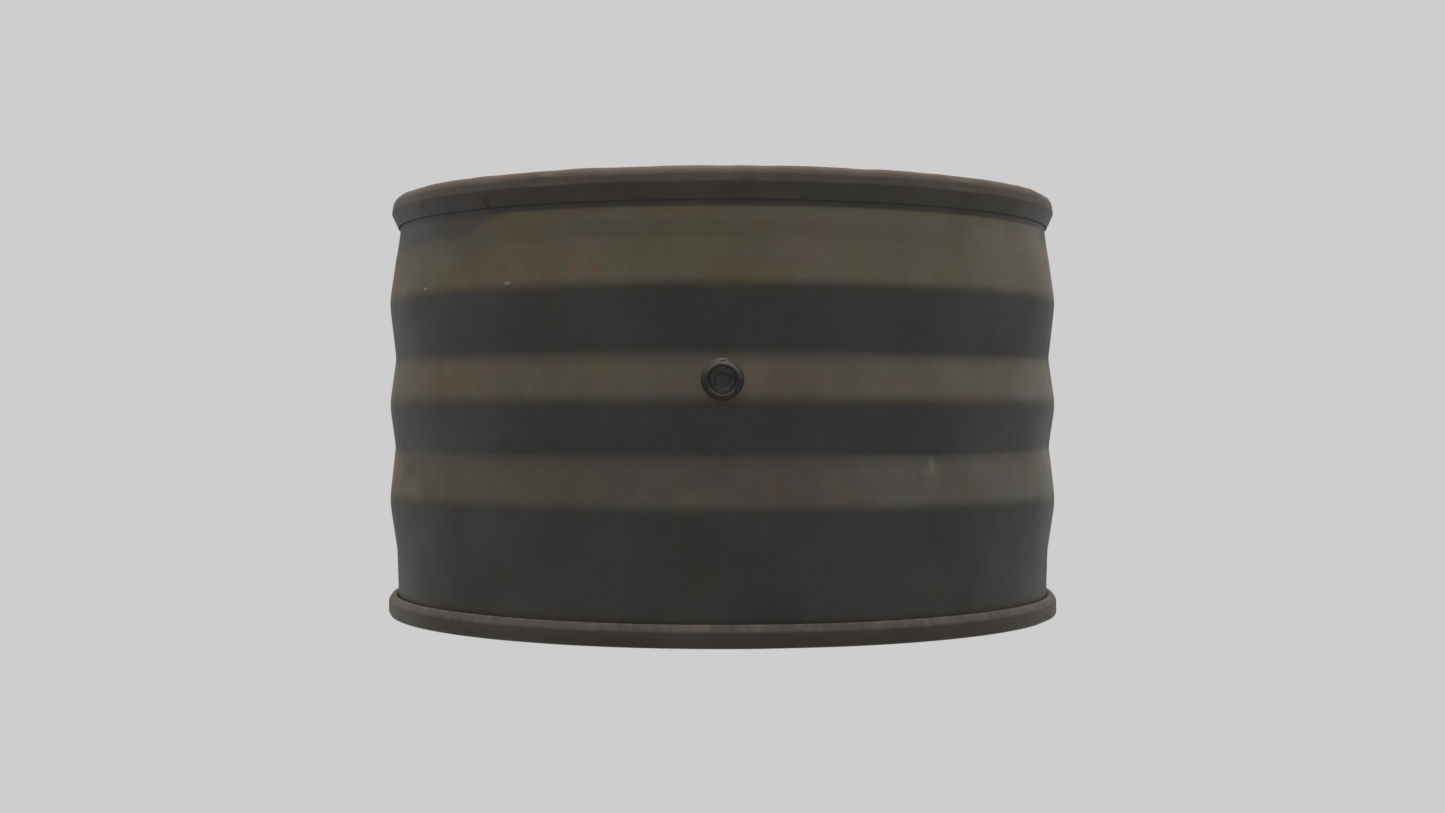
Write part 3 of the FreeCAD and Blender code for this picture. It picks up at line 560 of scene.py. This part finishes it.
HEAD = ([(0.02, 17.0)] + bead_corners(90, 17.0, 13.5) + bead_corners(180, 17.0, 13.5)
        + [(281.6, 17.0), (281.6, 0.0), (292.5, 0.0), (292.5, 12.5), (284.5, 24.5), (284.5, 6.0)])
HEAD_BENDS = {**{k: 3.0 for k in range(1, 9)}, 9: 4.0, 10: 2.4, 11: 2.4, 12: 5.0, 13: 3.0}
rim_waves = waves(21, 3, 17, 10)
rim_dents = dents(((12, 10, 22, 40, 0.9), (-31, 10, 16, 40, 0.7), (66, 10, 20, 40, 1.1),
                   (118, 10, 30, 40, 1.6), (-140, 10, 26, 40, 1.4), (-77, 10, 12, 40, 0.8)))


def head_shape(turn, radius, height):
    """The chime is a little uneven; the flat it stands on and the panel stay true."""
    outer = np.clip((radius - 286.0) / 5.0, 0, 1)
    push = 0.35 * rim_waves(turn, 0 * height) + rim_dents(turn, 0 * height + 10)
    sag = np.clip((height - 3.0) / 8.0, 0, 1) * outer * 0.35 * rim_waves(turn + 1.0, 0 * height)
    return radius + outer * push, height + sag


head_line = filled(rounded(HEAD, HEAD_BENDS), 6.0)
head = new_object("head_pressing", *around(sheet_section(head_line, 1.2), full, True, head_shape),
                  HEAD_PAINT, "drum")
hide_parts("bottom_head")

RING = ((284.2, 333.0), (289.8, 345.2), (289.8, 358.0), (281.5, 358.0))
ring_waves = waves(31, 4, 23, 14)
ring_ripple = waves(32, 24, 70, 12)
ring_dents = dents(((-28, 352, 16, 40, 0.7), (3.2, 352, 9, 40, -0.6), (41, 352, 20, 40, 0.9),
                    (95, 352, 26, 40, 1.3), (-104, 352, 24, 40, 1.2), (155, 352, 22, 40, 1.0)))


def ring_shape(turn, radius, height):
    """Knocks along the top and a gently uneven outside; the lip keeps its fit."""
    top = np.clip((height - 349.0) / 7.0, 0, 1)
    body = np.clip((height - 340.0) / 8.0, 0, 1)
    lift = 0.42 * ring_waves(turn, 0 * height) + 0.20 * ring_ripple(turn, 0 * height)
    push = 0.30 * ring_waves(turn + 2.0, 0 * height) + ring_dents(turn, 0 * height + 352)
    lean = 1.4 * np.clip((height - 344.6) / 9.0, 0, 1)
    return radius + body * np.minimum(push, 0.6) - lean, height + top * np.minimum(lift, 0.8)


half_gap = 10.0 / 289.8
open_turns = np.linspace(-math.pi + half_gap, math.pi - half_gap, SEGMENTS + 1)
ring_line = filled(rounded(RING, {1: 3.5, 2: 7.0}), 1.5)
ring = new_object("ring_channel", *around(sheet_section(ring_line, 1.5), open_turns, False,
                                          ring_shape), RING_PAINT, "closing_ring")
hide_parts("ring_band")


# ---- turned and threaded pieces ---------------------------------------------------------
def polygon(turn, sides):
    """Radius of a regular polygon about a unit corner circle."""
    part = TAU / sides
    away = (turn + part / 2) % part - part / 2
    return math.cos(part / 2) / np.cos(part / 2 - np.abs(away))


def thread(turn, height, pitch, depth, foot, top):
    """How far a thread cuts in at this place, running out softly at both ends."""
    phase = (height / pitch - turn / TAU) % 1.0
    groove = np.clip(np.abs(2 * phase - 1) * 1.25 - 0.12, 0, 1)
    ends = np.clip((height - foot) / pitch, 0, 1) * np.clip((top - height) / pitch, 0, 1)
    return depth * groove * ends


def lathe(name, node, section, shape, material, body, matrix, count=144, sharp=28.0):
    """A turned piece about its own Z, in mm, put in place by a 4x4 matrix in metres."""
    turns = np.linspace(0, TAU, count, endpoint=False)
    verts, faces = around(np.array(section), turns, True, shape)
    placed = [tuple(matrix @ Vector(v)) for v in verts]
    item = new_object(name, placed, faces, material, body, sharp)
    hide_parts(node)
    return item


def frame_at(place, along):
    """Matrix that carries local +Z to a direction, and the origin to a place in metres."""
    turn = Vector((0, 0, 1)).rotation_difference(Vector(along)).to_matrix().to_4x4()
    turn.translation = Vector(place)
    return turn


def ladder(radius, foot, top, step):
    """Section points up a straight wall."""
    count = max(2, int(round((top - foot) / step)))
    return [(radius, foot + (top - foot) * k / count) for k in range(count + 1)]


def arc_corner(radius, height, bend, start, count=5):
    """Points of a rounded outer corner whose centre is at (radius, height)."""
    return [(radius + bend * math.cos(math.radians(start + 90 * k / count)),
             height + bend * math.sin(math.radians(start + 90 * k / count)))
            for k in range(count + 1)]


def threaded_shape(pitch, depth, foot, top, major, recess, sides, recess_floor):
    """Shape of a plug: a thread outside and a key recess of some sides in its face."""
    def shape(turn, radius, height):
        on_thread = (np.abs(radius - major) < 0.01) & (height < top + 0.01)
        radius = np.where(on_thread, radius - thread(turn, height, pitch, depth, foot, top),
                          radius)
        in_recess = (radius > 0.5) & (radius <= recess + 0.01) & (height > recess_floor - 0.01)
        return np.where(in_recess, radius * polygon(turn, sides), radius), height

    return shape


CAP_FOOT, CAP_TOP, PLUG_FOOT = 348.0, 352.5, 336.0
for stem, side, major, cap, tpi, recess, depth, sides in (
        ("bung", 1, 29.8, 35.0, 11.5, 22.0, 9.0, 400), ("vent", -1, 13.1, 18.0, 14, 8.0, 7.0, 4)):
    pitch = 25.4 / tpi
    floor = CAP_TOP - depth
    section = [(0.02, PLUG_FOOT), (major - 1.2, PLUG_FOOT)]
    section += ladder(major, PLUG_FOOT + 1.0, CAP_FOOT, pitch / 12)
    section += [(cap - 0.6, CAP_FOOT), (cap, CAP_FOOT + 0.6)]
    section += arc_corner(cap - 1.5, CAP_TOP - 1.5, 1.5, 0)
    section += [(recess + 0.8, CAP_TOP), (recess, CAP_TOP - 0.8), (recess, floor), (0.02, floor)]
    place = frame_at((side * 0.212, 0, 0), (0, 0, 1))
    lathe(stem + "_plug_turned", stem + "_plug", section,
          threaded_shape(pitch, 1.1, PLUG_FOOT, CAP_FOOT - 0.4, major, recess, sides, floor),
          PLUG_METAL, stem + "_turning", place)


def block(name, low, high, material, body, bevel=0.0004):
    """A small box with softened edges, corners in metres."""
    bpy.ops.mesh.primitive_cube_add(size=1)
    item = bpy.context.object
    item.name = name
    low, high = Vector(low), Vector(high)
    for vert in item.data.vertices:
        vert.co = (low + high) / 2 + Vector(a * b for a, b in zip(vert.co, high - low))
    edge = item.modifiers.new("edge", "BEVEL")
    edge.width, edge.segments = bevel, 3
    item.data.materials.append(material)
    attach(item, body)
    return item


bar = block("bung_wrench_bar", (0.190, -0.0045, 0.3436), (0.234, 0.0045, 0.3485), PLUG_METAL,
            "bung_turning")

side_section = [(0.02, 293.7), (9.0, 293.7)] + ladder(9.9, 294.2, 298.2, 25.4 / 14 / 10)
side_section += [(9.5, 298.5), (6.9, 298.5), (6.4, 298.1), (6.4, 295.3), (0.02, 295.3)]
to_front = frame_at((0, 0, SOCKET_HEIGHT * MM), (0, -1, 0))
lathe("side_plug_turned", "side_plug", side_section,
      threaded_shape(25.4 / 14, 0.9, 293.7, 298.3, 9.9, 6.9, 6, 295.2), GRIMY_PLUG,
      "side_plug_turning", to_front)

BOLT_PITCH = 25.4 / 11
BOLT_RADIUS, BOLT_FOOT, BOLT_NECK, BOLT_HEAD = 7.94, -40.0, 32.6, 13.74
bolt_section = [(0.02, BOLT_FOOT), (6.7, BOLT_FOOT)]
bolt_section += ladder(BOLT_RADIUS, BOLT_FOOT + 1.2, BOLT_NECK, BOLT_PITCH / 12)
bolt_section += [(13.0, BOLT_NECK), (BOLT_HEAD, 33.2), (BOLT_HEAD, 42.2), (12.2, 43.3),
                 (0.02, 43.3)]


def bolt_shape(turn, radius, height):
    """Thread on the shank and six flats on the head."""
    on_shank = np.abs(radius - BOLT_RADIUS) < 0.01
    radius = np.where(on_shank, radius - thread(turn, height, BOLT_PITCH, 1.15, BOLT_FOOT, 22.0),
                      radius)
    flats = np.minimum(radius, BOLT_HEAD * polygon(turn, 6))
    on_head = (height > BOLT_NECK - 0.1) & (radius > 5)
    return np.where(on_head, flats, radius), height


on_bolt = frame_at((0, 0.306, 0.342), (1, 0, 0))
lathe("closing_bolt_turned", "closing_bolt", bolt_section, bolt_shape, ZINC, "bolt_turning",
      on_bolt)


# ---- weld beads and the small lug on the side fitting -----------------------------------
def weld_bead(name, points, radius, material, body, seed):
    """A rippled bead of weld metal along a line of points in metres."""
    random = np.random.default_rng(seed)
    curve = bpy.data.curves.new(name, "CURVE")
    curve.dimensions = "3D"
    curve.bevel_depth = radius
    curve.bevel_resolution = 3
    curve.use_fill_caps = True
    spline = curve.splines.new("POLY")
    spline.points.add(len(points) - 1)
    for point, place in zip(spline.points, points):
        point.co = (*place, 1)
        point.radius = random.uniform(0.72, 1.12)
    curve.materials.append(material)
    item = bpy.data.objects.new(name, curve)
    scene.collection.objects.link(item)
    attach(item, body)
    return item


weld_bead("fitting_lug", [(x, -0.2975, 0.2128) for x in (-0.0014, 0.0, 0.0014)], 0.0017,
          HEAD_PAINT, "drum", 5)
for side in (-1, 1):
    for x_place in (10.0, 30.0):
        turn = math.asin(x_place * side / 290.0)
        steps = np.linspace(346.6, 352.6, 9)
        line = [(math.sin(turn) * 0.2901, math.cos(turn) * 0.2901, z * MM) for z in steps]
        weld_bead("lug_weld", line, 0.0013, RING_PAINT, "closing_ring",
                  int(x_place) + side)

# ---- looks of the carried-over pieces ---------------------------------------------------
LOOKS = {
    "seam_compound": COMPOUND, "side_socket": FITTING_PAINT,
    "side_socket_weld": FITTING_PAINT, "side_plug_gasket": RUBBER, "lid": LID_PAINT,
    "lid_gasket": RUBBER, "bung_flange": ZINC, "bung_flange_gasket": RUBBER,
    "vent_flange": ZINC, "vent_flange_gasket": RUBBER, "bung_plug_gasket": RUBBER,
    "vent_plug_gasket": RUBBER, "ring_lug_plain": RING_PAINT, "ring_lug_threaded": RING_PAINT,
    "bolt_washer": ZINC, "lock_washer": ZINC, "jam_nut": ZINC,
}
BEVELS = {"bolt_washer": 0.0003, "lock_washer": 0.0003, "bung_flange": 0.0004,
          "vent_flange": 0.0003}
for name, look in LOOKS.items():
    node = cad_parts[name]
    node.data.materials.clear()
    node.data.materials.append(look)
    if name in BEVELS:
        edge = node.modifiers.new("edge", "BEVEL")
        edge.width, edge.segments, edge.limit_method = BEVELS[name], 2, "ANGLE"

# ---- light, floor and camera ------------------------------------------------------------
scene.view_settings.view_transform = "Standard"
world = bpy.data.worlds.new("studio")
scene.world = world
world.use_nodes = True
BACKDROP = 0.617
world.node_tree.nodes["Background"].inputs[0].default_value = (BACKDROP, BACKDROP, BACKDROP, 1)
world.cycles_visibility.diffuse = False

SUN = 10.0
SHADOWED = 0.6


def overhead(name, energy, spread, shadow):
    """A lamp straight above, as even over the whole scene as a tall softbox."""
    lamp = bpy.data.objects.new(name, bpy.data.lights.new(name, "SUN"))
    lamp.data.energy = energy
    lamp.data.angle = math.radians(spread)
    lamp.data.use_shadow = shadow
    lamp.visible_glossy = shadow
    scene.collection.objects.link(lamp)


overhead("overhead_fill", SUN - SHADOWED, 3, False)
overhead("overhead_key", SHADOWED, 40, True)

FLOOR_SHARE = 0.2
paper = Nodes("floor")
glow = paper.tree.nodes.new("ShaderNodeEmission")
glow.inputs[0].default_value = (BACKDROP, BACKDROP, BACKDROP, 1)
glow.inputs[1].default_value = 1 - FLOOR_SHARE
matt = paper.tree.nodes.new("ShaderNodeBsdfDiffuse")
tone = FLOOR_SHARE * BACKDROP * math.pi / SUN
matt.inputs[0].default_value = (tone, tone, tone, 1)
both = paper.tree.nodes.new("ShaderNodeAddShader")
paper.tree.links.new(glow.outputs[0], both.inputs[0])
paper.tree.links.new(matt.outputs[0], both.inputs[1])
paper.tree.links.new(both.outputs[0], paper.output.inputs[0])
bpy.ops.mesh.primitive_circle_add(vertices=96, radius=60.0, fill_type="NGON",
                                  location=(0, 0, -0.0002))
floor = bpy.context.object
floor.data.materials.append(paper.material)
floor.visible_diffuse = False

LENS = 47.505
CAMERA_PLACE = (0.0, -1.6965, 0.1790)
camera = bpy.data.objects.new("camera", bpy.data.cameras.new("camera"))
camera.data.sensor_width = 36.0
camera.data.lens = LENS
camera.location = CAMERA_PLACE
camera.rotation_euler = (math.pi / 2, 0, 0)
scene.collection.objects.link(camera)
scene.camera = camera
